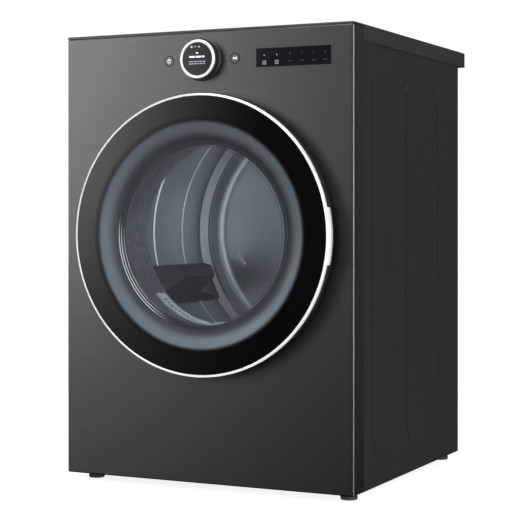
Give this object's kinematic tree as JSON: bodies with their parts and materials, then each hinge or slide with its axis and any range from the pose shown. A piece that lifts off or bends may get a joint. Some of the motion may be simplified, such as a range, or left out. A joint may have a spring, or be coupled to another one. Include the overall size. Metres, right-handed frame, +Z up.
{
  "type": "clothes dryer",
  "caption": "Full-size front-loading vented clothes dryer with a round glass door, central dial, turning drum, belt drive, fan and pull-out lint filter.",
  "frame": {"origin": "on the floor, in the middle of the machine's footprint, door and rear overhang included", "axes": "+Z up, the door faces -Y, +X to the right as seen from the front"},
  "size_m": [0.686, 0.773, 0.99],
  "materials": {
    "front_steel": "dark stainless, brushed across",
    "side_paint": "near-black satin enamel",
    "top_paint": "near-black satin enamel",
    "galvanised": "pale galvanised sheet",
    "foot_rubber": "matt black",
    "zinc_screws": "zinc plated",
    "bright_trim": "bright plated",
    "dial_grip": "satin, fine flutes",
    "dark_plastic": "fine satin texture",
    "display_glass": "gloss black with pale symbols",
    "button_face": "as the front panel, with a pale symbol",
    "grey_plastic": "moulded, light grey",
    "board": "green laminate",
    "door_glass": "black printed border, clear middle",
    "door_plastic": "gloss black",
    "inner_ring": "smooth blue-grey",
    "bowl_glass": "clear, moulded",
    "seal_rubber": "soft grey",
    "bright_steel": "plain bright steel",
    "drum_steel": "bright stainless",
    "vane_plastic": "moulded grey",
    "felt": "pressed wool felt",
    "glide": "low-friction white",
    "roller_rubber": "hard rubber tyre",
    "belt_rubber": "ribbed",
    "motor_paint": "dark lacquer",
    "fan_plastic": "moulded, dark",
    "filter_frame": "moulded, pale grey",
    "filter_mesh": "fine woven screen",
    "lens": "frosted"
  },
  "bodies": {
    "root": {"right_side_panel": "side_paint", "left_side_panel": "side_paint", "front_panel": "front_steel", "top_cover": "top_paint", "rear_panel": "galvanised", "base_pan": "galvanised", "panel_screws": "zinc_screws", "dial_base": "dark_plastic", "dial_display": "display_glass", "display_window": "display_glass", "control_housing": "grey_plastic", "control_boards": "board", "hinge_bracket": "bright_steel", "hinge_pin": "bright_steel", "door_catch": "dark_plastic", "front_bulkhead": "galvanised", "rear_bulkhead": "drum_steel", "drum_felts": "felt", "drum_glides": "glide", "roller_shafts": "bright_steel", "drum_belt": "belt_rubber", "motor_body": "motor_paint", "blower_housing": "grey_plastic", "lint_duct": "grey_plastic", "exhaust_duct": "galvanised", "idler_post": "galvanised", "idler_spring": "bright_steel", "heater_housing": "galvanised", "heater_coil": "bright_steel", "rear_air_duct": "galvanised", "terminal_block": "dark_plastic", "terminal_cover": "galvanised", "drum_light": "lens"},
    "door": {"door_trim_ring": "bright_trim", "door_glass": "door_glass", "door_shell": "door_plastic", "door_gasket": "seal_rubber", "door_inner_ring": "inner_ring", "door_bowl": "bowl_glass", "door_strike": "bright_steel", "hinge_arm": "bright_steel"},
    "dial": {"dial_ring": "bright_trim", "dial_sleeve": "dial_grip"},
    "power_button": {"power_button": "button_face"},
    "start_button": {"start_button": "button_face"},
    "door_switch": {"door_switch": "grey_plastic"},
    "drum": {"drum_shell": "drum_steel", "drum_lifters": "vane_plastic"},
    "roller_left": {"roller_left": "roller_rubber"},
    "roller_right": {"roller_right": "roller_rubber"},
    "rotor": {"motor_shaft": "bright_steel", "blower_wheel": "fan_plastic"},
    "idler_arm": {"idler_arm": "bright_steel"},
    "idler_pulley": {"idler_pulley": "dark_plastic"},
    "lint_filter": {"lint_filter_frame": "filter_frame", "lint_filter_mesh": "filter_mesh"},
    "foot_front_left": {"foot_front_left": "foot_rubber"},
    "foot_front_right": {"foot_front_right": "foot_rubber"},
    "foot_rear_left": {"foot_rear_left": "foot_rubber"},
    "foot_rear_right": {"foot_rear_right": "foot_rubber"}
  },
  "joints": [
    {"name": "door_hinge", "type": "hinge", "parent": "root", "child": "door", "pos_m": [-0.288, -0.373, 0.55], "axis": [0, 0, -1], "range_deg": [0, 165]},
    {"name": "dial_turn", "type": "hinge", "parent": "root", "child": "dial", "pos_m": [-0.0053, -0.3665, 0.925], "axis": [0, 1, 0], "continuous": true},
    {"name": "power_press", "type": "slide", "parent": "root", "child": "power_button", "axis": [0, 1, 0], "range_m": [0, 0.0015], "stiffness_N_per_m": 400, "springref_m": -0.001},
    {"name": "start_press", "type": "slide", "parent": "root", "child": "start_button", "axis": [0, 1, 0], "range_m": [0, 0.0015], "stiffness_N_per_m": 400, "springref_m": -0.001},
    {"name": "door_switch_press", "type": "slide", "parent": "root", "child": "door_switch", "axis": [0, 1, 0], "range_m": [0, 0.005], "stiffness_N_per_m": 300, "springref_m": -0.002},
    {"name": "drum_spin", "type": "hinge", "parent": "root", "child": "drum", "pos_m": [0, 0.0085, 0.55], "axis": [0, 1, 0], "continuous": true},
    {"name": "roller_left_spin", "type": "hinge", "parent": "root", "child": "roller_left", "pos_m": [-0.20264, 0.2105, 0.26059], "axis": [0, 1, 0], "continuous": true},
    {"name": "roller_right_spin", "type": "hinge", "parent": "root", "child": "roller_right", "pos_m": [0.20264, 0.2105, 0.26059], "axis": [0, 1, 0], "continuous": true},
    {"name": "motor_spin", "type": "hinge", "parent": "root", "child": "rotor", "pos_m": [0.15, -0.0515, 0.118], "axis": [0, 1, 0], "continuous": true},
    {"name": "idler_swing", "type": "hinge", "parent": "root", "child": "idler_arm", "pos_m": [0.118, 0.0895, 0.06], "axis": [0, -1, 0], "range_deg": [0, 12], "stiffness_Nm_per_rad": 3, "springref_deg": -17.19, "deforming": ["idler_spring"]},
    {"name": "idler_spin", "type": "hinge", "parent": "idler_arm", "child": "idler_pulley", "pos_m": [0.088, 0.0785, 0.124], "axis": [0, 1, 0], "continuous": true},
    {"name": "lint_filter_lift", "type": "slide", "parent": "root", "child": "lint_filter", "axis": [0, 0, 1], "range_m": [0, 0.2]},
    {"name": "foot_front_left_level", "type": "slide", "parent": "root", "child": "foot_front_left", "axis": [0, 0, -1], "range_m": [0, 0.015]},
    {"name": "foot_front_right_level", "type": "slide", "parent": "root", "child": "foot_front_right", "axis": [0, 0, -1], "range_m": [0, 0.015]},
    {"name": "foot_rear_left_level", "type": "slide", "parent": "root", "child": "foot_rear_left", "axis": [0, 0, -1], "range_m": [0, 0.015]},
    {"name": "foot_rear_right_level", "type": "slide", "parent": "root", "child": "foot_rear_right", "axis": [0, 0, -1], "range_m": [0, 0.015]}
  ],
  "couplings": [
    {"joint": "roller_left_spin", "follows": "drum_spin", "ratio": -9.0857},
    {"joint": "roller_right_spin", "follows": "drum_spin", "ratio": -9.0857},
    {"joint": "motor_spin", "follows": "drum_spin", "ratio": 33.474},
    {"joint": "idler_spin", "follows": "drum_spin", "ratio": -15.9}
  ]
}
